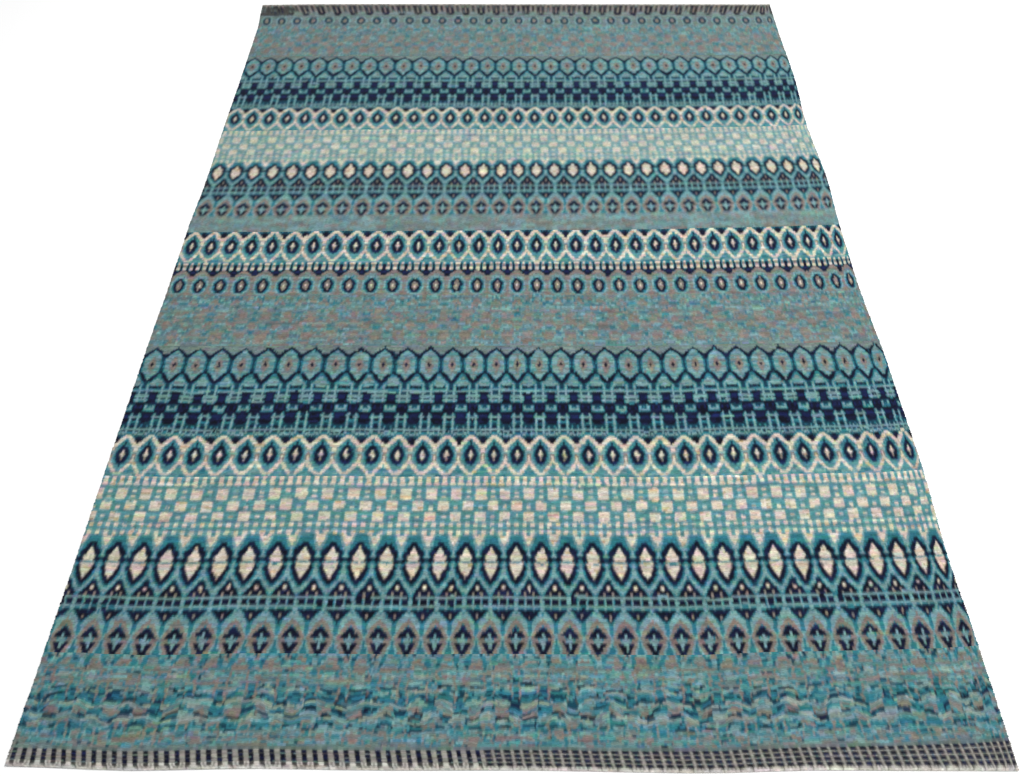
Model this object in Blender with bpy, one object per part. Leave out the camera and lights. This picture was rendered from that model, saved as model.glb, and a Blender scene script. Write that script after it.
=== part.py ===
"""A hand-loomed kilim: one flat, weft-faced wool cloth lying flat on the floor.

The rug is a single piece of weaving. Its two ends stop in a band woven in the same cloth and its sides are the
plain turned edges of the weft, so nothing is cut, sewn or knotted on. It is one solid.

Frame, in metres: +Z up, X across the rug along the weft, Y along the rug along the warp. The origin is on the
floor under the middle of the rug.
"""

import bmesh
import bpy

# Driving dimensions
RUG_WIDTH = 1.600
RUG_LENGTH = 2.300
CLOTH_THICKNESS = 0.004
EDGE_ROUNDING = 0.0012
ROUNDING_STEPS = 2

# How finely the outline is followed
PANELS_ACROSS = 24
PANELS_ALONG = 36

# How far each side edge strays outward from its straight line, from the near end (0) to the far end (1).
SIDE_COLUMNS = ("along", "left_out", "right_out")
SIDE_EDGES = (
    (0.00, 0.007, 0.004),
    (0.10, 0.005, 0.003),
    (0.16, 0.004, 0.000),
    (0.25, 0.004, 0.007),
    (0.36, 0.003, 0.005),
    (0.47, 0.000, -0.004),
    (0.55, 0.000, -0.002),
    (0.63, -0.006, 0.004),
    (0.73, -0.006, -0.004),
    (0.83, -0.008, 0.005),
    (0.94, -0.009, 0.001),
    (1.00, 0.000, 0.002),
)

# How far each end strays outward from its straight line, from the left side (0) to the right side (1).
END_COLUMNS = ("across", "near_out", "far_out")
END_EDGES = (
    (0.000, -0.003, -0.001),
    (0.125, 0.003, 0.003),
    (0.240, -0.001, 0.003),
    (0.375, 0.001, 0.002),
    (0.500, 0.000, 0.000),
    (0.680, 0.003, -0.001),
    (0.800, -0.002, -0.002),
    (1.000, -0.002, -0.004),
)

# Finish of the wool, seen from a distance
CLOTH_COLOUR = (0.115, 0.215, 0.225, 1.0)
CLOTH_ROUGHNESS = 0.92
CLOTH_METALLIC = 0.0


def clear_scene():
    for old in list(bpy.data.objects):
        bpy.data.objects.remove(old, do_unlink=True)


def stray(table, column, share):
    """The outward stray at a share of the edge's length, eased smoothly from one row of the table to the next."""
    for here, ahead in zip(table, table[1:]):
        if share <= ahead[0]:
            step = (share - here[0]) / (ahead[0] - here[0])
            eased = step * step * (3 - 2 * step)
            return here[column] + (ahead[column] - here[column]) * eased
    return table[-1][column]


def cloth_point(across, along):
    """Where a share across and along the weave lies on the floor: the four edges stray, the middle follows."""
    left = -RUG_WIDTH / 2 - stray(SIDE_EDGES, SIDE_COLUMNS.index("left_out"), along)
    right = RUG_WIDTH / 2 + stray(SIDE_EDGES, SIDE_COLUMNS.index("right_out"), along)
    near = -RUG_LENGTH / 2 - stray(END_EDGES, END_COLUMNS.index("near_out"), across)
    far = RUG_LENGTH / 2 + stray(END_EDGES, END_COLUMNS.index("far_out"), across)
    return left + (right - left) * across, near + (far - near) * along, 0.0


def wool_material():
    material = bpy.data.materials.new("kilim_wool")
    material.use_nodes = True
    shader = material.node_tree.nodes["Principled BSDF"]
    shader.inputs["Base Color"].default_value = CLOTH_COLOUR
    shader.inputs["Roughness"].default_value = CLOTH_ROUGHNESS
    shader.inputs["Metallic"].default_value = CLOTH_METALLIC
    return material


def sheet_mesh():
    """The underside of the cloth as a grid of panels, lying on the floor and facing up."""
    grid = bmesh.new()
    rows = [
        [grid.verts.new(cloth_point(i / PANELS_ACROSS, j / PANELS_ALONG)) for i in range(PANELS_ACROSS + 1)]
        for j in range(PANELS_ALONG + 1)
    ]
    for near_row, far_row in zip(rows, rows[1:]):
        for i in range(PANELS_ACROSS):
            grid.faces.new((near_row[i], near_row[i + 1], far_row[i + 1], far_row[i]))
    mesh = bpy.data.meshes.new("kilim_cloth")
    grid.to_mesh(mesh)
    grid.free()
    return mesh


def kilim_cloth():
    """The woven sheet: its thickness stands up from the floor, and its rim is a little rounded."""
    mesh = sheet_mesh()
    mesh.materials.append(wool_material())
    cloth = bpy.data.objects.new("kilim_cloth", mesh)
    bpy.context.scene.collection.objects.link(cloth)

    body = cloth.modifiers.new("cloth thickness", "SOLIDIFY")
    body.thickness = CLOTH_THICKNESS
    body.offset = 1.0

    rim = cloth.modifiers.new("rounded rim", "BEVEL")
    rim.width = EDGE_ROUNDING
    rim.segments = ROUNDING_STEPS
    rim.limit_method = "ANGLE"
    return cloth


clear_scene()
kilim_cloth()
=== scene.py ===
import math

import bpy
import numpy as np
from mathutils import Matrix


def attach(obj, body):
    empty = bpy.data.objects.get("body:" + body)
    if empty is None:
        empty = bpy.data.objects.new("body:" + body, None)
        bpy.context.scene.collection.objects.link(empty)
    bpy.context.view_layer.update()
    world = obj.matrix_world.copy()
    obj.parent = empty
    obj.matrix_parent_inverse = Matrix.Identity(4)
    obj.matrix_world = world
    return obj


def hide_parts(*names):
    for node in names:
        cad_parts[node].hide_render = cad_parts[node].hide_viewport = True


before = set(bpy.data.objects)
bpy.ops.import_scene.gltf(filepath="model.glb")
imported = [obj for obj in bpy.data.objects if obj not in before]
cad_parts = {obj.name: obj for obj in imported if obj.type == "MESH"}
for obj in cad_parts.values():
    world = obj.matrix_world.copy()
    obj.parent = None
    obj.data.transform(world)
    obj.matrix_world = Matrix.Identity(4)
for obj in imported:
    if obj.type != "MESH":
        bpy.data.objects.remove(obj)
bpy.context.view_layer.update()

# ---------------------------------------------------------------------------------------------------------
# The near end of the cloth. A kilim is one flat sheet of wool: every weft is beaten down until it hides the
# warps, so the face is all ribs, one to a warp. It is woven upward from this end. To keep each mesh small the
# one sheet is kept as seven lengths. This first one is the pale end band and the heathered sea-green ground.

MM = 0.001
RUG_WIDTH = 1600 * MM
RUG_LENGTH = 2300 * MM
WARPS = 408
WARPS_IN_REPEAT = 12
PICK_HEIGHT = 1.4 * MM
FACE_HEIGHT = 3.3 * MM
SELVEDGE_HEIGHT = 2.0 * MM
BACK_HEIGHT = 0.1 * MM
BACK_PANELS = 17
HALF_RIBS = 2 * WARPS
CLOTH_NAME = "kilim_cloth"

# The solid's walls stand around this level, and its edges lie within this reach of their straight lines.
WALL_LEVEL = 2 * MM
WALL_REACH = 1 * MM
EDGE_REACH = 15 * MM

# The width of a repeat of the figures, in millimetres, by its number counted from the left. The widths are
# then evened out together to fill the rug's width.
REPEAT_WIDTHS = ((0, 46), (3, 50), (10, 51), (16, 45), (20, 48), (30, 46), (32, 41), (34, 28))

# How the wefts run off square, in millimetres: they climb to the right, most of all in the last few repeats,
# and steeper around the middle of the length, where the left side dips. They come true again at both ends.
RIGHT_CLIMB = 14
RIGHT_CLIMB_POWER = 6
EVEN_CLIMB = 4
STEEP_CLIMB = 18
LEFT_DIP = 6
STEEP_MIDDLE = 1420 * MM
STEEP_REACH = 300 * MM
NEAR_TRUE_LENGTH = 25 * MM
FAR_TRUE_LENGTH = 350 * MM

# How the warps are dragged sideways, in millimetres: a slow sway, a lean to the right in the first rows, and
# the last rows fanned out toward both sides. The drag fades to nothing at the two long edges.
WARP_SWAY = 3
NEAR_LEAN = 8
NEAR_LEAN_LENGTH = 30 * MM
FAR_FAN = 40
FAR_FAN_LENGTH = 55 * MM
HELD_AT_SIDES = 20

# Small waves in the lie of the yarn. Each has a height in millimetres, then the radians that it turns from
# warp to warp and in a metre of length. Rows slacken a little way in from the near end. They waver slightly
# everywhere but at the ends.
SLACK_WAVES = ((3.4, 0.26, 30), (2.04, 0.61, -55))
SLACK_MIDDLE = 95 * MM
SLACK_REACH = 32 * MM
WEFT_WAVES = ((0.5, 0.37, 41), (0.5, 0.11, -67))
WARP_WAVES = ((0.4, 0.23, 19), (0.4, 0.71, 8))

# The dyed wools, in everyday 0 to 255 colour.
WOOLS = {
    "K": (5, 7, 18),
    "N": (12, 22, 56),
    "D": (16, 52, 68),
    "T": (40, 102, 114),
    "E": (70, 121, 126),
    "L": (102, 135, 138),
    "C": (184, 175, 160),
    "P": (114, 107, 101),
    "G": (98, 114, 113),
    "S": (78, 112, 116),
    "B": (58, 58, 57),
    "W": (129, 127, 121),
    "F": (186, 183, 176),
    "V": (124, 138, 131),
    "Y": (170, 168, 154),
    "Z": (119, 145, 143),
}

TAN_FLECK = (168, 150, 118)
TAN_SHARE = 0.06
NAVY_BLOOM = (8, 13, 36)

# How much the dye and the spinning vary: from dash to dash of weft, from warp to warp and from row to row.
NEW_DASH_CHANCE = 0.3
DASH_SHADE = 0.13
WARP_SHADE = 0.06
ROW_SHADE = 0.05
DASH_TINT = 0.09
PALE_TINT_SHARE = 0.4

# Heathered grounds: each dash of weft is one of these wools, drawn at random.
HEATHERS = {
    "x": "KKBBG",
    "h": "GGGSLSP",
    "s": "SSTTSLS",
    "w": "PPGPPG",
    "m": "GGLGSLPL",
    "t": "TTTTTDE",
    "l": "LLEGL",
    "g": "GGSLPE",
    "p": "PPPGPE",
    # The d and b dashes are drawn only in the sea-green ground. There they are partly dark teal and
    # grey-brown wool and partly painted shade for the shadowed gaps between slack rows.
    "d": "DDDTTK",
    "b": "BBKDP",
    "v": "VVLVG",
    "e": "EEEETL",
}


def linear(colour):
    """Everyday 0 to 255 colour as the linear light that a material works in."""
    share = np.asarray(colour, float) / 255
    return np.where(share <= 0.04045, share / 12.92, ((share + 0.055) / 1.055) ** 2.4)


def outline_of(cloth):
    """The solid's four edges, as two-column arrays of place along the edge and where the edge lies."""
    points = np.empty(len(cloth.data.vertices) * 3)
    cloth.data.vertices.foreach_get("co", points)
    points = points.reshape(-1, 3)
    wall = points[np.abs(points[:, 2] - WALL_LEVEL) < WALL_REACH]
    edges = {}
    for name, axis, way in (("left", 0, -1), ("right", 0, 1), ("near", 1, -1), ("far", 1, 1)):
        half = (RUG_WIDTH, RUG_LENGTH)[axis] / 2
        on_edge = wall[wall[:, axis] * way > half - EDGE_REACH]
        on_edge = on_edge[np.argsort(on_edge[:, 1 - axis])]
        edges[name] = on_edge[:, 1 - axis], on_edge[:, axis]
    return edges


edges = outline_of(bpy.data.objects[CLOTH_NAME])
repeats = np.arange(WARPS) / WARPS_IN_REPEAT
warp_widths = np.interp(repeats, *np.array(REPEAT_WIDTHS, float).T)
warp_lines = RUG_WIDTH * (np.concatenate([[0], np.cumsum(warp_widths)]) / warp_widths.sum() - 0.5)


def waves(parts, warp, distance):
    """The sum of a few waves over the cloth, in metres."""
    return sum(
        height * MM * np.sin(by_warp * warp + by_metre * distance) for height, by_warp, by_metre in parts
    )


def lie(warp, distance):
    """Where the weave lies on the floor, from ribs counted from the left and metres from the near end."""
    warp, distance = np.broadcast_arrays(np.asarray(warp, float), np.asarray(distance, float))
    share = warp / WARPS
    to_go = RUG_LENGTH - distance
    true = np.clip(distance / NEAR_TRUE_LENGTH, 0, 1) * np.clip(to_go / FAR_TRUE_LENGTH, 0, 1)
    steep = np.exp(-(((distance - STEEP_MIDDLE) / STEEP_REACH) ** 2)) * (STEEP_CLIMB * share - LEFT_DIP)
    lift = MM * true * (RIGHT_CLIMB * share**RIGHT_CLIMB_POWER + EVEN_CLIMB * share + steep)
    lean = NEAR_LEAN * np.clip(1 - distance / NEAR_LEAN_LENGTH, 0, 1)
    fan = FAR_FAN * (share - 0.5) * np.clip(1 - to_go / FAR_FAN_LENGTH, 0, 1)
    loose = np.clip(HELD_AT_SIDES * share * (1 - share), 0, 1)
    drag = MM * loose * (lean + fan - WARP_SWAY * np.sin(2 * math.pi * share))
    x = np.interp(warp, np.arange(WARPS + 1), warp_lines)
    near, far = (np.interp(x, *edges[side]) for side in ("near", "far"))
    y = near + (far - near) * distance / RUG_LENGTH + lift
    inner = np.sin(math.pi * distance / RUG_LENGTH) ** 0.5
    slack = np.exp(-(((distance - SLACK_MIDDLE) / SLACK_REACH) ** 2))
    y = y + slack * waves(SLACK_WAVES, warp, distance) + inner * waves(WEFT_WAVES, warp, distance)
    left = np.interp(y, *edges["left"]) + RUG_WIDTH / 2
    right = np.interp(y, *edges["right"]) - RUG_WIDTH / 2
    sway = waves(WARP_WAVES, warp, distance) * (4 * share * (1 - share))
    return x + drag + left * (1 - share) ** 2 + right * share**2 + sway, y


def letters_of(card, rows):
    """A card spelt out across the whole cloth, near side first, in a letter to each half rib."""
    words = card.split()
    if rows:
        words = [words[int((row + 0.5) * len(words) / rows)] for row in range(rows)]
    repeats_across = WARPS // WARPS_IN_REPEAT
    spelt = []
    for word in reversed(words):
        half = word if len(word) == WARPS_IN_REPEAT else "".join(2 * letter for letter in word)
        spelt.append(list((half[::-1] + half) * repeats_across))
    return np.array(spelt)


def band(card, height, rows=None, loft=(1,), paired=False, slack=0.35, right_card=None, right_from=0.45):
    """One band of the weave, from a card of its figures, beaten down to a height in millimetres.

    Each word of the card is a row of half a figure, from the figure's middle outward, and the first word is
    the far side. It has a letter to a warp, or two. With a count of rows given, the card's words are spread
    over that many rows. Loft is how high the wool stands, at even steps up the band. In a paired band the
    wefts go over two warps at a time. Slack is how far rows slip out of the card's place, in rows. A right
    card takes over from a share of the width.
    """
    letters = letters_of(card, rows)
    if right_card:
        turnover = int(HALF_RIBS * right_from)
        letters[:, turnover:] = letters_of(right_card, rows)[:, turnover:]
    steps = np.linspace(0, 1, len(letters) + 1)
    lofts = np.interp(steps, np.linspace(0, 1, max(len(loft), 2)), loft if len(loft) > 1 else loft * 2)
    return {"letters": letters, "height": height * MM, "loft": lofts, "paired": paired, "slack": slack}


def slipped(letters, slack, random):
    """The letters as a hand beats them down: here a row runs late or early, there a half rib to one side."""
    at = np.arange(HALF_RIBS) / WARPS_IN_REPEAT
    before = at.astype(int)
    share = at - before

    def unevenness():
        knots = random.normal(0, 1, (len(letters) + 2, before[-1] + 2))
        knots = (knots[:-2] + knots[1:-1] + knots[2:]) / math.sqrt(3)
        return knots[:, before] * (1 - share) + knots[:, before + 1] * share

    rows, columns = np.indices(letters.shape)
    rows = rows + np.round(slack[:, None] * unevenness()).astype(int)
    columns = columns + np.round(slack[:, None] * unevenness()).astype(int)
    return letters[np.clip(rows, 0, len(letters) - 1), np.clip(columns, 0, HALF_RIBS - 1)]


def woven_colours(letters, random):
    """The colour of the wool at every half rib. Heathers are drawn, and each dash and row is shaded."""
    rows = np.arange(len(letters))[:, None]
    new_dash = np.repeat(random.random((len(letters), WARPS)) < NEW_DASH_CHANCE, 2, axis=1)
    new_dash[:, 1::2] = False
    dash = np.cumsum(new_dash, axis=1)

    def by_dash(values):
        return values[rows, dash]

    def by_warp(spread):
        return np.repeat(random.normal(0, spread, (len(letters), WARPS)), 2, axis=1)

    draw = by_dash(random.random(letters.shape))
    letters = letters.copy()
    for heather, parts in HEATHERS.items():
        drawn = np.array(list(parts))[(draw * len(parts)).astype(int)]
        letters = np.where(letters == heather, drawn, letters)
    colours = np.zeros(letters.shape + (3,))
    for letter, wool in WOOLS.items():
        colours[letters == letter] = linear(wool)
    tan = (letters == "C") & (by_dash(random.random(letters.shape)) < TAN_SHARE)
    colours[tan] = linear(TAN_FLECK)
    shade = by_dash(random.normal(0, DASH_SHADE, letters.shape)) + by_warp(WARP_SHADE)
    shade = shade + random.normal(0, ROW_SHADE, (len(letters), 1))
    colours *= np.exp(shade)[..., None]
    tint = by_dash(random.normal(0, DASH_TINT, letters.shape + (3,)))
    tint[np.isin(letters, ("F", "W"))] *= PALE_TINT_SHARE
    navy = np.abs(by_dash(random.normal(0, 1, letters.shape)))[..., None] * linear(NAVY_BLOOM)
    dark = np.isin(letters, ("K", "N"))[..., None]
    return np.clip(colours * (1 + tint) + dark * navy, 0, 1)


def mingled(cells):
    """The same colours, each taken a little into its neighbours, as where the weave is beaten looser."""
    padded = np.pad(cells, ((1, 1), (1, 1), (0, 0)), mode="edge")
    upright = (padded[:-2] + 2 * padded[1:-1] + padded[2:]) / 4
    return (upright[:, :-2] + 2 * upright[:, 1:-1] + upright[:, 2:]) / 4


def softened(cells, across, along):
    """The colour at the corners of every half rib, where neighbouring wools interlock and mingle."""
    left = np.concatenate([cells[:, :1], cells[:, :-1]], axis=1)
    right = np.concatenate([cells[:, 1:], cells[:, -1:]], axis=1)
    to_left = cells + across * (left - cells)
    to_right = cells + across * (right - cells)

    def toward(values, step):
        beside = np.concatenate([values[:1], values[:-1]] if step < 0 else [values[1:], values[-1:]])
        return values + along * (beside - values)

    corners = [toward(to_left, -1), toward(to_right, -1), toward(to_right, 1), toward(to_left, 1)]
    return np.stack(corners, axis=2)


def add_node(tree, kind, **settings):
    """A new node in the tree, with its settings."""
    made = tree.nodes.new(kind)
    for name, value in settings.items():
        setattr(made, name, value)
    return made


def fed(tree, node, values):
    """Gives a node's inputs, in order, a number each or a link, and returns its first output."""
    for socket, value in zip(node.inputs, values):
        if isinstance(value, (int, float)):
            socket.default_value = value
        else:
            tree.links.new(value, socket)
    return node.outputs[0]


def worked_out(tree, operation, first, second):
    """A number worked out in the tree from two others."""
    return fed(tree, add_node(tree, "ShaderNodeMath", operation=operation), (first, second))


def relief_tree():
    """Raises the face into one rounded rib to a warp, with slubs where the yarn runs thick."""
    tree = bpy.data.node_groups.new("weft relief", "GeometryNodeTree")
    tree.interface.new_socket("Cloth", in_out="INPUT", socket_type="NodeSocketGeometry")
    for size in ("Rib Height", "Slub Height", "Slub Length", "Seed"):
        tree.interface.new_socket(size, in_out="INPUT", socket_type="NodeSocketFloat")
    tree.interface.new_socket("Wool", in_out="INPUT", socket_type="NodeSocketMaterial")
    tree.interface.new_socket("Cloth", in_out="OUTPUT", socket_type="NodeSocketGeometry")
    links = tree.links

    def node(kind, **settings):
        return add_node(tree, kind, **settings)

    def math_node(operation, first, second):
        return worked_out(tree, operation, first, second)

    given = node("NodeGroupInput")
    weave = node("GeometryNodeInputNamedAttribute", data_type="FLOAT_VECTOR")
    weave.inputs["Name"].default_value = "weave"
    loft = node("GeometryNodeInputNamedAttribute", data_type="FLOAT")
    loft.inputs["Name"].default_value = "loft"
    split = node("ShaderNodeSeparateXYZ")
    links.new(weave.outputs["Attribute"], split.inputs[0])
    rib = math_node("PINGPONG", split.outputs["X"], 0.5)
    rib_rise = math_node("MULTIPLY", math_node("MULTIPLY", rib, 2.0), given.outputs["Rib Height"])

    stretch = node("ShaderNodeCombineXYZ")
    links.new(math_node("DIVIDE", split.outputs["X"], given.outputs["Slub Length"]), stretch.inputs["X"])
    links.new(math_node("MULTIPLY", split.outputs["Y"], 0.35), stretch.inputs["Y"])
    slub = node("ShaderNodeTexNoise", noise_dimensions="4D")
    slub.inputs["Scale"].default_value = 1.0
    slub.inputs["Detail"].default_value = 1.0
    links.new(stretch.outputs[0], slub.inputs["Vector"])
    links.new(given.outputs["Seed"], slub.inputs["W"])
    slub_swing = math_node("SUBTRACT", slub.outputs["Fac"], 0.5)
    slub_rise = math_node("MULTIPLY", slub_swing, given.outputs["Slub Height"])
    rise = math_node("MULTIPLY", math_node("ADD", rib_rise, slub_rise), loft.outputs["Attribute"])
    offset = node("ShaderNodeCombineXYZ")
    links.new(rise, offset.inputs["Z"])

    place = node("GeometryNodeSetPosition")
    links.new(given.outputs["Cloth"], place.inputs["Geometry"])
    links.new(offset.outputs[0], place.inputs["Offset"])
    real = node("GeometryNodeRealizeInstances")
    links.new(place.outputs[0], real.inputs[0])
    paint = node("GeometryNodeSetMaterial")
    links.new(real.outputs[0], paint.inputs["Geometry"])
    links.new(given.outputs["Wool"], paint.inputs["Material"])
    finished = node("NodeGroupOutput")
    links.new(paint.outputs[0], finished.inputs[0])
    return tree


def shaped(piece, tree, **sizes):
    """Runs a node tree on the piece once and keeps the result as its plain mesh."""
    shaping = piece.modifiers.new(tree.name, "NODES")
    shaping.node_group = tree
    for socket in tree.interface.items_tree:
        size = socket.name.replace(" ", "_").lower()
        if socket.in_out == "INPUT" and size in sizes:
            shaping[socket.identifier] = sizes[size]
    drawn = piece.evaluated_get(bpy.context.evaluated_depsgraph_get())
    mesh = bpy.data.meshes.new_from_object(drawn)
    piece.modifiers.remove(shaping)
    rough = piece.data
    piece.data = mesh
    bpy.data.meshes.remove(rough)
    mesh.name = piece.name


# How far each thing lightens the wool from its darkest: the dye of one pick over one warp, streaks in the
# dye, and single fibres. Then how far picks and fibres rise.
PICK_SHADE = 0.28
STREAK_SHADE = 0.5
FIBRE_SHADE = 0.3
DARKEST_SHADE = 0.46
FIBRES_TO_METRE = 1400.0
PICK_RISE = 1.2
FIBRE_RISE = 0.6
RISE_DEPTH = 0.4 * MM


def wool_material(name, by_weave):
    """Matt spun wool in the colour that each face holds, with picks, fibres and uneven dye."""
    material = bpy.data.materials.new(name)
    material.use_nodes = True
    tree, links = material.node_tree, material.node_tree.links
    shader = tree.nodes["Principled BSDF"]

    def node(kind, **settings):
        return add_node(tree, kind, **settings)

    def math_node(operation, first, second):
        return worked_out(tree, operation, first, second)

    dye = node("ShaderNodeAttribute", attribute_name="yarn")
    body = node("ShaderNodeTexCoord")
    if by_weave:
        weave = node("ShaderNodeAttribute", attribute_name="weave").outputs["Vector"]
    else:
        scaled = node("ShaderNodeMapping")
        scaled.inputs["Scale"].default_value = (WARPS / RUG_WIDTH, 1 / PICK_HEIGHT, 0)
        links.new(body.outputs["Object"], scaled.inputs["Vector"])
        weave = scaled.outputs["Vector"]
    split = node("ShaderNodeSeparateXYZ")
    links.new(weave, split.inputs[0])
    rib = math_node("FLOOR", split.outputs["X"], 0)
    pick = math_node("ADD", split.outputs["Y"], math_node("MULTIPLY", rib, 0.5))

    cell = node("ShaderNodeCombineXYZ")
    links.new(rib, cell.inputs["X"])
    links.new(math_node("FLOOR", pick, 0), cell.inputs["Y"])
    uneven = node("ShaderNodeTexWhiteNoise", noise_dimensions="3D")
    links.new(cell.outputs[0], uneven.inputs["Vector"])

    along = node("ShaderNodeMapping")
    along.inputs["Scale"].default_value = (0.35, 1.1, 1.0)
    links.new(weave, along.inputs["Vector"])
    streak = node("ShaderNodeTexNoise")
    streak.inputs["Scale"].default_value = 1.0
    streak.inputs["Detail"].default_value = 3.0
    links.new(along.outputs["Vector"], streak.inputs["Vector"])

    fibre = node("ShaderNodeTexNoise")
    fibre.inputs["Scale"].default_value = FIBRES_TO_METRE
    fibre.inputs["Detail"].default_value = 2.0
    links.new(body.outputs["Object"], fibre.inputs["Vector"])

    shade = math_node("MULTIPLY", uneven.outputs["Value"], PICK_SHADE)
    shade = math_node("ADD", shade, math_node("MULTIPLY", streak.outputs["Fac"], STREAK_SHADE))
    shade = math_node("ADD", shade, math_node("MULTIPLY", fibre.outputs["Fac"], FIBRE_SHADE))
    shade = math_node("ADD", shade, DARKEST_SHADE)
    tone = node("ShaderNodeVectorMath", operation="SCALE")
    links.new(dye.outputs["Color"], tone.inputs[0])
    links.new(shade, tone.inputs["Scale"])
    links.new(tone.outputs["Vector"], shader.inputs["Base Color"])

    rough = node("ShaderNodeMapRange")
    rough.inputs["To Min"].default_value = 0.82
    rough.inputs["To Max"].default_value = 0.98
    links.new(streak.outputs["Fac"], rough.inputs["Value"])
    links.new(rough.outputs[0], shader.inputs["Roughness"])
    shader.inputs["Specular IOR Level"].default_value = 0.08
    shader.inputs["Sheen Weight"].default_value = 0.03
    shader.inputs["Sheen Roughness"].default_value = 0.6

    pick_rise = math_node("MULTIPLY", math_node("PINGPONG", pick, 0.5), PICK_RISE)
    fibre_rise = math_node("MULTIPLY", fibre.outputs["Fac"], FIBRE_RISE)
    height = math_node("ADD", pick_rise, fibre_rise)
    bump = node("ShaderNodeBump")
    bump.inputs["Strength"].default_value = 0.5
    bump.inputs["Distance"].default_value = RISE_DEPTH
    links.new(height, bump.inputs["Height"])
    links.new(bump.outputs[0], shader.inputs["Normal"])
    return material


# The relief of the face, how ragged the lines of weft are, and how far wools mingle where they interlock.
RIB_HEIGHT = 0.55 * MM
SLUB_HEIGHT = 0.9 * MM
SLUB_LENGTH = 3.0
RAGGEDNESS = 0.25 * MM
RIM_LOFT = 0.2
INTERLOCK = 0.32

# Where the parts of a length lie on its flat map, in shares: the face in two halves, one over the other, and
# below them the back, the two side walls and the two end walls.
HALF_OF_FACE = HALF_RIBS // 2 + 1
FACE_MAP_START = 0.045
FACE_MAP_HEIGHT = 0.465
RIGHT_HALF_UP = 0.49
BACK_MAP_HEIGHT = 0.02
LEFT_WALL_MAP = (0.024, 0.024, 0.028, 0.028)
RIGHT_WALL_MAP = (0.030, 0.030, 0.034, 0.034)
NEAR_WALL_MAP = 0.037
FAR_WALL_MAP = 0.041
END_WALL_MAP_HEIGHT = 0.002

# Points and panels across a length.
ACROSS = HALF_RIBS + 1
PANEL_EDGES = BACK_PANELS + 1
PANEL_STEP = HALF_RIBS // BACK_PANELS

ribbing = relief_tree()
cloth_wool = wool_material("woven_wool", by_weave=True)
woven_to = 0.0
selvedges = []


def rows_of(bands):
    """The letters of a run of bands, and each row's height, whether it is paired and how far it slips."""
    letters = np.concatenate([made["letters"] for made in bands])

    def by_row(value_of):
        return np.concatenate([np.full(len(made["letters"]), value_of(made)) for made in bands])

    heights = by_row(lambda made: made["height"] / len(made["letters"]))
    paired = by_row(lambda made: made["paired"])
    slack = by_row(lambda made: 0.0 if made["paired"] else float(made["slack"]))
    return letters, heights, paired, slack


def cloth_points(warps, places, lofts, rims, random):
    """The points of a length, first the face in half ribs, then the back in a few wide panels."""
    x, y = lie(warps, places)
    ragged = random.normal(0, RAGGEDNESS, (2,) + x.shape)
    ragged[:, [0, -1], :] = 0
    x, y = x + ragged[0], y + ragged[1]
    height = np.full(x.shape, FACE_HEIGHT)
    for rim in rims:
        lofts[rim], height[rim] = RIM_LOFT, SELVEDGE_HEIGHT
    face = np.stack([x, y, height], axis=-1).reshape(-1, 3)
    back_x, back_y = x[:, ::PANEL_STEP], y[:, ::PANEL_STEP]
    back = np.stack([back_x, back_y, np.full(back_x.shape, BACK_HEIGHT)], axis=-1).reshape(-1, 3)
    return face, back


def face_side(cells):
    """The faces of the ribbed side, and the colour and the place on the map of every corner."""
    count = len(cells)
    row, half = np.mgrid[0:count, 0:HALF_RIBS]
    corner = row * ACROSS + half
    beyond = corner + ACROSS
    faces = np.stack([corner, corner + 1, beyond + 1, beyond], axis=-1).reshape(-1, 4)
    colours = softened(cells, INTERLOCK, INTERLOCK).reshape(-1, 3)
    in_right = half >= HALF_OF_FACE
    u = (half - in_right * HALF_OF_FACE)[..., None] + np.array([0, 1, 1, 0])
    v = row[..., None] + np.array([0, 0, 1, 1])
    up_map = FACE_MAP_START + FACE_MAP_HEIGHT * v / count + RIGHT_HALF_UP * in_right[..., None]
    return faces.tolist(), colours, np.stack([u / HALF_OF_FACE, up_map], axis=-1).reshape(-1, 2)


def back_side(cells):
    """The same for the underside, in wide panels of the mean colour above them."""
    count = len(cells)
    row, panel = np.mgrid[0:count, 0:BACK_PANELS]
    corner = (count + 1) * ACROSS + row * PANEL_EDGES + panel
    beyond = corner + PANEL_EDGES
    faces = np.stack([corner, beyond, beyond + 1, corner + 1], axis=-1).reshape(-1, 4)
    panel_colours = cells.reshape(count, BACK_PANELS, PANEL_STEP, 3).mean(axis=2)
    u = panel[..., None] + np.array([0, 0, 1, 1])
    v = row[..., None] + np.array([0, 1, 1, 0])
    places = np.stack([u / BACK_PANELS, BACK_MAP_HEIGHT * v / count], axis=-1).reshape(-1, 2)
    return faces.tolist(), np.repeat(panel_colours.reshape(-1, 3), 4, axis=0), places


def side_walls(cells):
    """The same for the narrow walls down the left and right sides."""
    count = len(cells)
    row = np.arange(count)
    below, above = (count + 1) * ACROSS + row * PANEL_EDGES, row * ACROSS
    left = np.stack([below + PANEL_EDGES, below, above, above + ACROSS], axis=-1)
    right = left + np.array([BACK_PANELS, BACK_PANELS, HALF_RIBS, HALF_RIBS])
    right = right[:, [1, 0, 3, 2]]
    colours = np.concatenate([np.repeat(cells[:, side], 4, axis=0) for side in (0, -1)])
    along = np.stack([row + 1, row, row, row + 1], axis=-1) / count
    left_map = np.stack([along, np.broadcast_to(LEFT_WALL_MAP, along.shape)], axis=-1)
    right_map = np.stack([along[:, [1, 0, 3, 2]], np.broadcast_to(RIGHT_WALL_MAP, along.shape)], axis=-1)
    return [*left.tolist(), *right.tolist()], colours, np.concatenate([left_map, right_map]).reshape(-1, 2)


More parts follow.
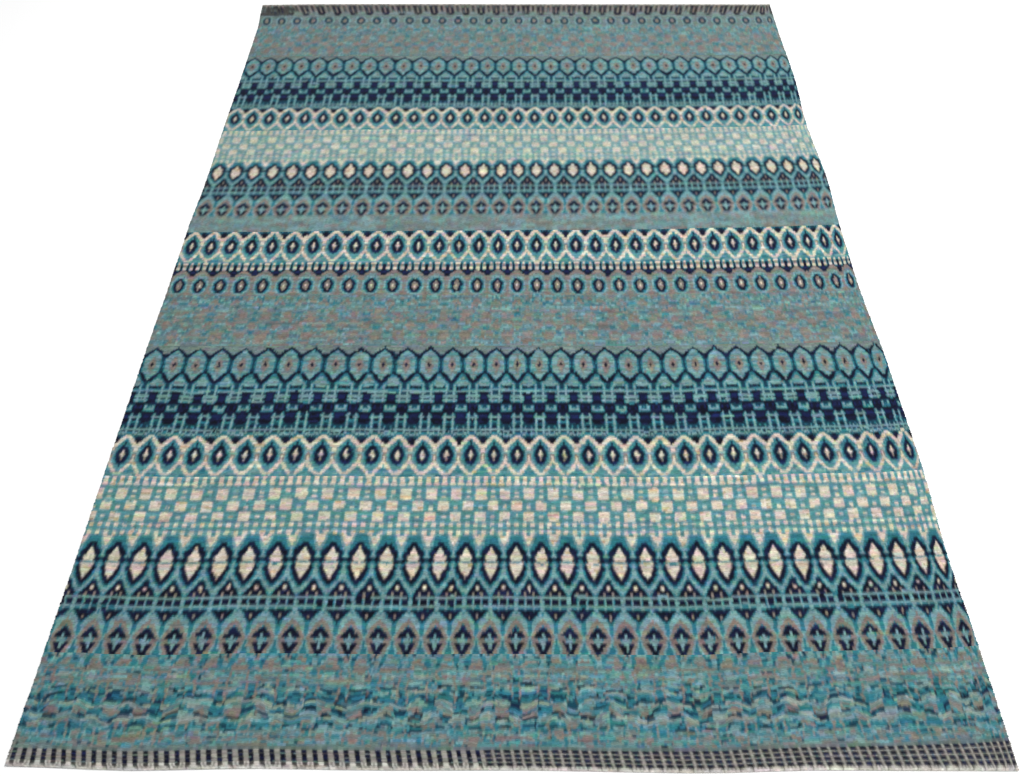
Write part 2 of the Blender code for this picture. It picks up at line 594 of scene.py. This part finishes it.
def end_walls(cells):
    """The same for the narrow walls across the near and far ends, one face to a panel of the back."""
    count = len(cells)
    faces, colours, places = [], [], []
    for at_row, level in ((0, NEAR_WALL_MAP), (count, FAR_WALL_MAP)):
        base, roof = (count + 1) * ACROSS + at_row * PANEL_EDGES, at_row * ACROSS
        for panel in range(BACK_PANELS):
            over = list(range(roof + panel * PANEL_STEP, roof + (panel + 1) * PANEL_STEP + 1))
            rim = [base + panel, base + panel + 1] + over[::-1]
            spots = [(panel, 0), (panel + 1, 0)]
            spots += [(panel + i / PANEL_STEP, 1) for i in range(PANEL_STEP, -1, -1)]
            if at_row:
                rim, spots = rim[::-1], spots[::-1]
            faces.append(rim)
            places += [(u / BACK_PANELS, level + END_WALL_MAP_HEIGHT * v) for u, v in spots]
            colours += [cells[min(at_row, count - 1), panel * PANEL_STEP]] * len(rim)
    return faces, np.array(colours), np.array(places)


def keep_corners(mesh, count):
    """Marks the rims sharp, so that the face and the back are smooth and the walls keep their corners."""
    face_points = (count + 1) * ACROSS
    pairs = np.empty(len(mesh.edges) * 2, int)
    mesh.edges.foreach_get("vertices", pairs)
    pairs = pairs.reshape(-1, 2)
    on_face = pairs < face_points
    rim_point = np.zeros(len(mesh.vertices), bool)
    rim_point[:ACROSS] = True
    rim_point[face_points - ACROSS:] = True
    on_one_side = on_face.all(axis=1) | ~on_face.any(axis=1)
    sharp = mesh.attributes.new("sharp_edge", "BOOLEAN", "EDGE")
    sharp.data.foreach_set("value", rim_point[pairs].all(axis=1) & on_one_side)


def weave(name, seed, bands, looseness=0):
    """Weaves the next length of the cloth, in bands from the near side on. Looseness mingles its colours."""
    global woven_to
    random = np.random.default_rng(seed)
    letters, heights, paired, slack = rows_of(bands)
    count = len(letters)
    lines = woven_to + np.concatenate([[0], np.cumsum(heights)])
    line_lofts = np.concatenate([bands[0]["loft"][:1]] + [made["loft"][1:] for made in bands])
    line_paired = np.concatenate([[False], paired]) | np.concatenate([paired, paired[-1:]])
    first, last = woven_to == 0.0, abs(lines[-1] - RUG_LENGTH) < 1 * MM
    start, woven_to = woven_to, lines[-1]
    cells = woven_colours(slipped(letters, slack, random), random)
    for _ in range(looseness):
        cells = mingled(cells)

    warp = np.arange(HALF_RIBS + 1) / 2
    warps, places = np.meshgrid(warp, lines)
    lofts = np.repeat(line_lofts[:, None], HALF_RIBS + 1, axis=1)
    rims = [(slice(None), 0), (slice(None), -1)]
    rims += [(0, slice(None))] if first else []
    rims += [(-1, slice(None))] if last else []
    face, back = cloth_points(warps, places, lofts, rims, random)
    sides = [side(cells) for side in (face_side, back_side, side_walls, end_walls)]

    mesh = bpy.data.meshes.new(name)
    all_faces = [corners for faces, _, _ in sides for corners in faces]
    mesh.from_pydata(np.concatenate([face, back]), [], all_faces)
    mesh.polygons.foreach_set("use_smooth", np.ones(len(mesh.polygons), bool))
    yarn = mesh.attributes.new("yarn", "FLOAT_COLOR", "CORNER")
    yarn_colours = np.concatenate([colours for _, colours, _ in sides])
    yarn.data.foreach_set("color", np.insert(yarn_colours, 3, 1, axis=1).ravel())
    spots = np.concatenate([places_on_map for _, _, places_on_map in sides])
    mesh.uv_layers.new(name="OFBake").data.foreach_set("uv", spots.ravel())

    picks = np.concatenate([places.ravel(), np.repeat(lines, PANEL_EDGES)]) / PICK_HEIGHT
    face_ribs = np.where(line_paired[:, None], (warps + 1) / 2, warps)
    ribs = np.concatenate([face_ribs.ravel(), np.tile(warp[::PANEL_STEP], count + 1)])
    weave_at = mesh.attributes.new("weave", "FLOAT_VECTOR", "POINT")
    weave_at.data.foreach_set("vector", np.stack([ribs, picks, 0 * picks], axis=-1).ravel())
    loft = mesh.attributes.new("loft", "FLOAT", "POINT")
    loft.data.foreach_set("value", np.concatenate([lofts.ravel(), np.zeros(len(back))]))
    keep_corners(mesh, count)

    piece = bpy.data.objects.new(name, mesh)
    bpy.context.scene.collection.objects.link(piece)
    shaped(
        piece, ribbing, rib_height=RIB_HEIGHT, slub_height=SLUB_HEIGHT, slub_length=SLUB_LENGTH,
        seed=float(seed), wool=cloth_wool,
    )
    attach(piece, "root")
    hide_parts(CLOTH_NAME)
    selvedges.append((lines, cells[:, 0], cells[:, -1]))


# The bars of the end band, two letters to a warp: four rows of stitches with a thin line between each two. On
# the left the stitches run together into plain bars. On the right they are fuller and stand apart.
BARS = "KKWWWWKKKKWW"
BAR_FOOT = "BBFWWFBBBBFF"
BAR_LINE = "xxWWWWxxxxWW"
FULL_BARS = "KKBWWBKKKKBW"
FULL_LINE = "GWWWWWGWWWWW"
STITCH_LOFT = (0.3, 1.6, 0.3)


def stitches(word, height, right_word, right_from=0.45):
    """One row of paired stitches, made of two rows of weft, with others from a share of the width on."""
    return band(
        f"{word} {word}", height, loft=STITCH_LOFT, paired=True,
        right_card=f"{right_word} {right_word}", right_from=right_from,
    )


END_BARS = [band("WFWWFFBWWFFF FFFFFFWFFFFF", 5.0, slack=0)]
for bars in (BAR_FOOT, BARS, BARS):
    END_BARS += [
        stitches(bars, 5.0, FULL_BARS),
        band(BAR_LINE, 1.0, loft=(0.3,), paired=True, right_card=FULL_LINE),
    ]
END_BARS += [stitches(BARS, 5.4, FULL_BARS)]
GREY_LINE = "GGGGGG"
# In this ground the dark d and b rows are partly the wool's own dark teal and grey-brown and partly painted
# shade, standing in for the shadowed gaps under the slack pale strands.
SEA_GROUND = """
    Dppllltttlll ppltttttllll gglttttllppp lltttttppppp lltttggppppp gllttppppppp gggggppppppp
    gggppgggglll tttpptttglll lllpplllvvvv gggppppggggg gggppggggggg tttpptttgggg tttppgggllll
    gggppddddddd tttppvvvvvvv tttgpglllttt dddppttttttt tttgpddddddd dddbbttttttt dddddvvvvvvv
    vvvvvvvvvlll ttttttgggggg ddddddpppppp ttttttgggppp llllllbbbbbb vvvvvldddddd vvvvvvvvvvvv
    ggglllttllll gpppgttttttt tttgpddddddd tttgptttllll gggglllllggg tttgptttlggg ggggpgggpppp
    llllpgggpppp tttpgtttgggg gggggggggggg
"""
weave(
    "cloth_1_near_end",
    11,
    END_BARS + [band(GREY_LINE, 4.9, slack=0), band(SEA_GROUND, 153.2, slack=0.9)],
)

# ---------------------------------------------------------------------------------------------------------
# The near cream bands. Small outlined diamonds, a row of dots between two rows of triangles, tall cream
# diamonds and a cream check, all in the same sheet: each colour turns back where its figure ends.

OUTLINED_DIAMONDS = """
    PPPLLLLLLTTD PPPPPLLLLLTT TPPPPPLLLLTT NNTPPPPLLLTT KKKDPPPPLLTT KKKKKDPPPLTT LKKKKKKPPPLT
    LKKKKKKDPPPL LLLTTPPPPPGL LLLLPPPPPGLT LLKKKKKPPPLT LKKKKKPPPLLT LKKKKPPPLLTT KKKKPPPLLTTT
    KKDPPPPLLTTT
"""
TRIANGLES_AND_DOTS = """
    KKDTTLLLTDKK DDTTLLLTDKKK TTLLLLTKKKPC LLLLTDKKKKPC LLLTKKKKKKKK LTTKKKKPPKKK TTKKKKKPPKKK
    LLLLLLLLLLLL LTKKKKKTLKKK LLKKKKKTLKKK LTKKKKKTLKKK LLLLLLLLLLLL LLTTTTTLLTTT LTKKKKKDDKKK
    TLLTDKKKKKKK LLLLTTKKKKKP LLLLLLTDKKKP PLLLLLLLTDKK
"""
CREAM_DIAMONDS = """
    TTTTTTLLCCCC TTTTTTLLCCCC TTTTTTTLLCCC KKDTTTTLLLCC KKKDTTTTLLLC DKKKDDTTTLLL CDKKKKDTTLLL
    CCDKKKKKDTTL CCCKKKKKKDTL CCCCDKKKKDTL CCCCCPDKDTLL CCCCCPDKKKDD CCCCPKKKKKKD TTTLLPTDKDTT
    CCCCCCPDTTEL CCCCCPDKDTEL CCCCCPKKKDTL CCCCPKKKDTLL CCCPKKKDTTLL CCPKKKKDTTLL CPKKKKDTTLLL
    PKKKKDTTLLLT KKKKDTTLLTDD
"""
CREAM_CHECK = """
    CCLLLLCCCCLL CCEEEECCCCEE CCEEEECCCCEE CCLEELCCCCLE CCCLLCCCCCCL LLEEEELLLLEE EEEEEELLLLLL
    LLEEEELCCCCC CCLEEELCCCCC LLEEEELCCCCC EEEEEELCCCCC CCLEEELCCCCC LLLLEELCCCCC LLLEEEEEELLL
    CCCCCLEEEEEE CCCCCLEEEEEE CCCCCLEEEELL CCCCCLEEEECC CCCCCLEEEELL LLLEEEEEEELL EEEEEELCCCCC
    EEEEEELCCCCC CCLEEELCCCCC LLEEEELCCCCC EEEEEEECCCCC LLEEEELLLLEE CCLLLLCCCCLL CCEEEECCCCEE
    EEEEEEEEEEEE LLEEEELLLLEE CCLLLLCCCCLL CCEELLCCCCLE EEEEELLCCCEE
"""
weave(
    "cloth_2_near_cream",
    12,
    [
        band(OUTLINED_DIAMONDS, 59.6),
        band(TRIANGLES_AND_DOTS, 74.7),
        band(CREAM_DIAMONDS, 91.5),
        band(CREAM_CHECK, 131.3),
    ],
)

# ---------------------------------------------------------------------------------------------------------
# The near navy bands. Eyes between two cream zigzags, a dark navy check and a row of large hexagons with a
# dark spot in each.

ZIGZAG = """
    CCCTTTDDTDDD CCCCCTTDKDKK TLCCCCCTKKKK TTLCCCCCPKKK KTTTLCCCCCKK DTETTLLCCCCC KKDTETTLCCCC
    KKKDTETTLLCC KKKKDTELLPCC CDKKKDTELLCC CPDKKDDTLLLL CCPDKKDTELPP CPDKKKDTELPC PDKKKDTTELPC
    PKKKKDTEELPC NKKNDTEELLCC NNNDTEELLCCC DTEEEELCCCCL EEEEELCCCCLe EEEELCCCCLee EELCCCCLeeee
    LLCCCCLeeeee CCCCLeeeeeee LLLeeeeeeeee
"""
NAVY_CHECK = """
    DDTLLTTLLLLL DDTLLTDKDDKK NDTLLTKKDDKK TTTLLTTTTTTT LLLLLLLLLLLL DDDLLDTKKKKK DDDLLDKKKKKK
    LLLLLLLTKNNN LLLLLLLTKNNN DKDLLDDKKNNN LLLLLLLTKKKK TTTLLTTKKKKK KKKKKKKKKKKK KKKKKDDDDDDD
    KKNNKKTLLTDD KKNNKKTLLTDT KKKKKKTLLLLL KKKKKDTTTTTT KKKKKKKKKKKK KKDLTDKKKKKK DDTLLTDKNNNN
    LLLLLLTKNNNN KKDLLDKKKKKK KKTLLDKKKKKK TTTLLTKKKKKK DDTLLTDDKKKK DDTLLTDDDDDD KKDLLDDDTTDD
    DDTLLTDDLDDD LLLLLLLLLLLL KKDLLDKKDLDK TTTLLTLLLLTT
"""
HEXAGONS = """
    GGGGGGGGGGGG DGGGGGGGGGGG KKKGGGGGGGGG TKKKKDGGGGGG llTKKKKDGGGG llllTKKKKDGG llllllTKKKKD
    lllllllTKKKK GGllllllTDKK PGGllllllTDD PPGGlllllTDD PPPGlllllTTD KPPGlllllTTD KKPPGllllTDD
    KPPPGllllTTD PPPGlllllTTD PPGGlllllTDD PGGllllllTDD GGllllllTTKK GlllllTKKKKD llllTKKKKDTT
    lllTKKKKDTTT llTKKKKDTTll lKKKKKDTTlll KKKKKDTlllll KKKDTTllllll DDTTllllllll
"""
weave(
    "cloth_3_near_navy",
    13,
    [band(f"TTTTDLLLDLLL {ZIGZAG}", 101.4), band(NAVY_CHECK, 127.3), band(HEXAGONS, 107.5)],
)

# ---------------------------------------------------------------------------------------------------------
# The middle of the cloth. A heathered ground with a faint check in it, a row of small diamonds, dark teeth
# under a cream band that takes the dark bars, and a second zigzag.

FAINT_CHECK = """
    sLshhh hsshhw whsLhh wwsLLs hwwsss hhhsss hshLLh hshhhh hhhhhh shhhww
    sshwww hshhww shhwww sshwww whhwww wwhhhh wwwhss wwhhss whhhss sshhww
    shhwww sLhwww hhhwww hshhww hLhhhh hhshhh hhhhhh
"""
SMALL_DIAMONDS = """
    LLLGLLGGPPPP LLLTLLGGGPPP KDTTLLLGGPPP KKDTTLLLGPPP PKKKDTTLLLPG PPKKKDTTLLGG PPPDKKDTLLGG
    CPPDKKDTLLPG CPPKKDTTLLPP PPPKKDTTLLGP PPKKKDTTLLGP PKKKDTTLLGGP KKKDTTLLGGGP KDDTTLLGGPPP
    LLLLLGGGPPPP LLGGPPPGGPPP
"""
DARK_TEETH = """
    PPKKKKTTTKKK PPPPKKKNKKNN PPPPPGDKKNNN GGGPPPPPDKKK GGLGGPPPPDKK
"""
CREAM_BARS = "CCTKKTCCCCKK"
GREY_BARS = "PPTKKTPPPTKK"
BAR_TOPS = "CCCTDTLCCLTT"
weave(
    "cloth_4_middle",
    14,
    [
        band(FAINT_CHECK, 151.2),
        band(SMALL_DIAMONDS, 63.6),
        band(DARK_TEETH, 19.9),
        band(f"{CREAM_BARS} {CREAM_BARS}", 9.0, loft=(0.4, 1.4, 0.4), paired=True),
        band(f"{GREY_BARS} {GREY_BARS}", 9.2, loft=(0.4, 1.6, 0.4), paired=True),
        band(f"{BAR_TOPS} {BAR_TOPS}", 6.0, loft=(0.4, 1.4, 0.4), paired=True),
        band(ZIGZAG, 108.6),
    ],
)

# ---------------------------------------------------------------------------------------------------------
# The far cream bands: the near cream bands over again, with the tall diamonds beaten down shorter.

PLAIN_HEATHER = "mmmmmm wmmmmm mmmmmm mmmmmw mmmmmm mmwmmm mmmmmm mmmmmm mmmmmw mmmmmm mmmmmm"
weave(
    "cloth_5_far_cream",
    15,
    [
        band(PLAIN_HEATHER, 59.1),
        band(OUTLINED_DIAMONDS, 59.7),
        band(TRIANGLES_AND_DOTS.replace("PC", "KP"), 81.6, slack=0.15),
        band(CREAM_DIAMONDS, 67.6, rows=17),
        band(CREAM_CHECK.replace("L", "Z").replace("C", "Y").replace("E", "L"), 134.3),
    ],
    looseness=1,
)

# ---------------------------------------------------------------------------------------------------------
# The far navy bands: the near navy bands over again, beaten a little looser.

weave(
    "cloth_6_far_navy",
    16,
    [band(f"TTTTDLLLDLLL {ZIGZAG}", 104.4), band(NAVY_CHECK, 144.2), band(HEXAGONS, 106.4)],
    looseness=1,
)

# ---------------------------------------------------------------------------------------------------------
# The far end of the cloth: a last heathered ground, a row of small diamonds, dark teeth, and the end band in
# brown-grey wool that takes the bars.

FAR_DIAMONDS = """
    GGGGLLGGGGGG DDDGGLLGGGGG DDDDDGLLGGGG PPDDDDGLGGGG PPPDDDGLLGGG PPPDDDGLLGGG PPDDDDGLGGGG
    DDDDDGLLGGGG DDDGGLLGGGGG GGGGGLGGGGGG
"""
FAR_TEETH = "GGGGGPBxxxBP GGGGGGBxxKKx GGGGGGGBxxKK GGGGGGGGBxxx"
FAR_BARS = "xBPPGPBKxKBP"
FAR_LINE = "BBPPPBxxxxBB"
DARK_CORNER = "xxBBxxxBBxxx"
weave(
    "cloth_7_far_end",
    17,
    [
        band(FAINT_CHECK, 169.2, rows=30, slack=0.5),
        band(FAR_DIAMONDS, 49.7),
        band("GGGGGG GGGGGG", 6.5),
        band(" ".join([DARK_CORNER] * 4), 20.0, slack=0, right_card=FAR_TEETH, right_from=0.06),
        stitches(DARK_CORNER, 15.0, FAR_BARS, right_from=0.07),
        stitches(DARK_CORNER, 15.0, FAR_BARS, right_from=0.07),
        band(f"{FAR_LINE} {FAR_LINE}", 10.0, slack=0),
        band("FFWFFF FFWWFW WPWWPW", 10.0, slack=0),
    ],
    looseness=1,
)

# ---------------------------------------------------------------------------------------------------------
# The two long edges. Each weft comes back round the outermost warp, so the edge is a row of small rounded
# turns of wool in the colours of the bands, unevenly pulled.

TURN_SIZE = 2.2 * MM
TURN_THICKNESS = 1.5 * MM
TURN_IN_FROM_EDGE = 0.9 * MM
TURN_UNEVENNESS = 0.7 * MM
TURN_SEGMENTS = 6
TURN_RINGS = 4

# From the least to the most: how far a turn reaches as a share of its size, how wide it is as a share of the
# space between two wefts, and how far it is twisted, in radians.
TURN_REACHES = (0.8, 1.3)
TURN_WIDTHS = (0.48, 0.66)
TURN_TWISTS = (-0.35, 0.35)
TURN_SEED = 5


def turns_tree():
    """Sets one rounded turn of wool at every point, in the colour that the point holds."""
    tree = bpy.data.node_groups.new("weft turns", "GeometryNodeTree")
    tree.interface.new_socket("Edge Points", in_out="INPUT", socket_type="NodeSocketGeometry")
    for size in ("Turn Size", "Turn Thickness", "Unevenness"):
        tree.interface.new_socket(size, in_out="INPUT", socket_type="NodeSocketFloat")
    tree.interface.new_socket("Seed", in_out="INPUT", socket_type="NodeSocketInt")
    tree.interface.new_socket("Wool", in_out="INPUT", socket_type="NodeSocketMaterial")
    tree.interface.new_socket("Turns", in_out="OUTPUT", socket_type="NodeSocketGeometry")
    links = tree.links
    given = add_node(tree, "NodeGroupInput")

    def number(operation, first, second):
        return worked_out(tree, operation, first, second)

    def vector(x, y, z):
        return fed(tree, add_node(tree, "ShaderNodeCombineXYZ"), (x, y, z))

    def at_random(low_to_high, draw):
        made = add_node(tree, "FunctionNodeRandomValue", data_type="FLOAT")
        floats = [socket for socket in made.inputs if socket.type == "VALUE"]
        floats[0].default_value, floats[1].default_value = low_to_high
        links.new(number("ADD", given.outputs["Seed"], draw), made.inputs["Seed"])
        return made.outputs[1]

    pulled = add_node(tree, "GeometryNodeSetPosition")
    links.new(given.outputs["Edge Points"], pulled.inputs["Geometry"])
    pull = number("MULTIPLY", at_random((-1.0, 1.0), 1), given.outputs["Unevenness"])
    links.new(vector(pull, 0.0, 0.0), pulled.inputs["Offset"])

    turn = add_node(tree, "GeometryNodeMeshUVSphere")
    turn.inputs["Segments"].default_value = TURN_SEGMENTS
    turn.inputs["Rings"].default_value = TURN_RINGS
    pitch = add_node(tree, "GeometryNodeInputNamedAttribute", data_type="FLOAT")
    pitch.inputs["Name"].default_value = "pitch"
    reach = number("MULTIPLY", given.outputs["Turn Size"], at_random(TURN_REACHES, 2))
    width = number("MULTIPLY", pitch.outputs["Attribute"], at_random(TURN_WIDTHS, 3))
    placed = add_node(tree, "GeometryNodeInstanceOnPoints")
    links.new(pulled.outputs[0], placed.inputs["Points"])
    links.new(turn.outputs["Mesh"], placed.inputs["Instance"])
    links.new(vector(0.0, 0.0, at_random(TURN_TWISTS, 4)), placed.inputs["Rotation"])
    links.new(vector(reach, width, given.outputs["Turn Thickness"]), placed.inputs["Scale"])
    real = add_node(tree, "GeometryNodeRealizeInstances")
    links.new(placed.outputs[0], real.inputs[0])
    rounded = add_node(tree, "GeometryNodeSetShadeSmooth")
    links.new(real.outputs[0], rounded.inputs["Geometry"])
    paint = add_node(tree, "GeometryNodeSetMaterial")
    links.new(rounded.outputs[0], paint.inputs["Geometry"])
    links.new(given.outputs["Wool"], paint.inputs["Material"])
    finished = add_node(tree, "NodeGroupOutput")
    links.new(paint.outputs[0], finished.inputs[0])
    return tree


turn_places, turn_colours, turn_pitches = [], [], []
for lines, left_colours, right_colours in selvedges:
    middles = (lines[:-1] + lines[1:]) / 2
    for warp, colours, inward in ((0, left_colours, 1), (WARPS, right_colours, -1)):
        x, y = lie(warp, middles)
        x = x + inward * TURN_IN_FROM_EDGE
        turn_places.append(np.stack([x, y, np.full(x.shape, SELVEDGE_HEIGHT)], axis=-1))
        turn_colours.append(colours)
        turn_pitches.append(np.diff(lines))
turn_places, turn_colours = np.concatenate(turn_places), np.concatenate(turn_colours)
turn_mesh = bpy.data.meshes.new("weft_turns")
turn_mesh.from_pydata(turn_places.tolist(), [], [])
turn_yarn = turn_mesh.attributes.new("yarn", "FLOAT_COLOR", "POINT")
turn_yarn.data.foreach_set("color", np.insert(turn_colours, 3, 1, axis=1).ravel())
turn_spacing = turn_mesh.attributes.new("pitch", "FLOAT", "POINT")
turn_spacing.data.foreach_set("value", np.concatenate(turn_pitches))
weft_turns = bpy.data.objects.new("weft_turns", turn_mesh)
bpy.context.scene.collection.objects.link(weft_turns)
shaped(
    weft_turns, turns_tree(), turn_size=TURN_SIZE, turn_thickness=TURN_THICKNESS,
    unevenness=TURN_UNEVENNESS, seed=TURN_SEED, wool=wool_material("turned_wool", by_weave=False),
)
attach(weft_turns, "root")
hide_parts(CLOTH_NAME)

# ---------------------------------------------------------------------------------------------------------
# The room: a plain pale floor, a wide soft lamp overhead and an even grey-white surround.

FLOOR_SIZE = 12.0
FLOOR_COLOUR = (0.93, 0.93, 0.93, 1)
FLOOR_ROUGHNESS = 0.95
LAMP_HEIGHT = 3.4
LAMP_SIZE = 3.0
LAMP_POWER = 150
LAMP_RIGHT = 1.4
LAMP_FORWARD = 0.4
LAMP_TURN = (math.radians(-7), math.radians(22), 0)
SURROUND_COLOUR = (1.0, 1.0, 1.0, 1)
SURROUND_STRENGTH = 0.60

floor_mesh = bpy.data.meshes.new("floor")
reach = FLOOR_SIZE / 2
floor_mesh.from_pydata(
    [(-reach, -reach, 0), (reach, -reach, 0), (reach, reach, 0), (-reach, reach, 0)], [], [(0, 1, 2, 3)]
)
floor = bpy.data.objects.new("floor", floor_mesh)
bpy.context.scene.collection.objects.link(floor)
plain = bpy.data.materials.new("plain_floor")
plain.use_nodes = True
plain_finish = plain.node_tree.nodes["Principled BSDF"]
plain_finish.inputs["Base Color"].default_value = FLOOR_COLOUR
plain_finish.inputs["Roughness"].default_value = FLOOR_ROUGHNESS
plain_finish.inputs["Specular IOR Level"].default_value = 0.0
floor_mesh.materials.append(plain)

lamp = bpy.data.objects.new("soft_lamp", bpy.data.lights.new("soft_lamp", "AREA"))
lamp.data.shape = "SQUARE"
lamp.data.size = LAMP_SIZE
lamp.data.energy = LAMP_POWER
lamp.location = (LAMP_RIGHT, LAMP_FORWARD, LAMP_HEIGHT)
lamp.rotation_euler = LAMP_TURN
bpy.context.scene.collection.objects.link(lamp)

surround = bpy.data.worlds.new("surround")
surround.use_nodes = True
surround.node_tree.nodes["Background"].inputs["Color"].default_value = SURROUND_COLOUR
surround.node_tree.nodes["Background"].inputs["Strength"].default_value = SURROUND_STRENGTH
bpy.context.scene.world = surround
bpy.context.scene.view_settings.view_transform = "Standard"

# The eye stands near the near end, at a standing person's height, and looks down along the rug.
EYE = (0.0121, -1.5308, 1.4889)
EYE_DOWN = math.radians(52.401)
EYE_LEFT = math.radians(0.710)
EYE_TILT = math.radians(-0.504)
SENSOR_WIDTH = 36
LENS = 31.25
camera = bpy.data.objects.new("camera", bpy.data.cameras.new("camera"))
camera.data.sensor_width = SENSOR_WIDTH
camera.data.lens = LENS
camera.matrix_world = (
    Matrix.Translation(EYE)
    @ Matrix.Rotation(EYE_LEFT, 4, "Z")
    @ Matrix.Rotation(math.pi / 2 - EYE_DOWN, 4, "X")
    @ Matrix.Rotation(EYE_TILT, 4, "Z")
)
bpy.context.scene.collection.objects.link(camera)
bpy.context.scene.camera = camera
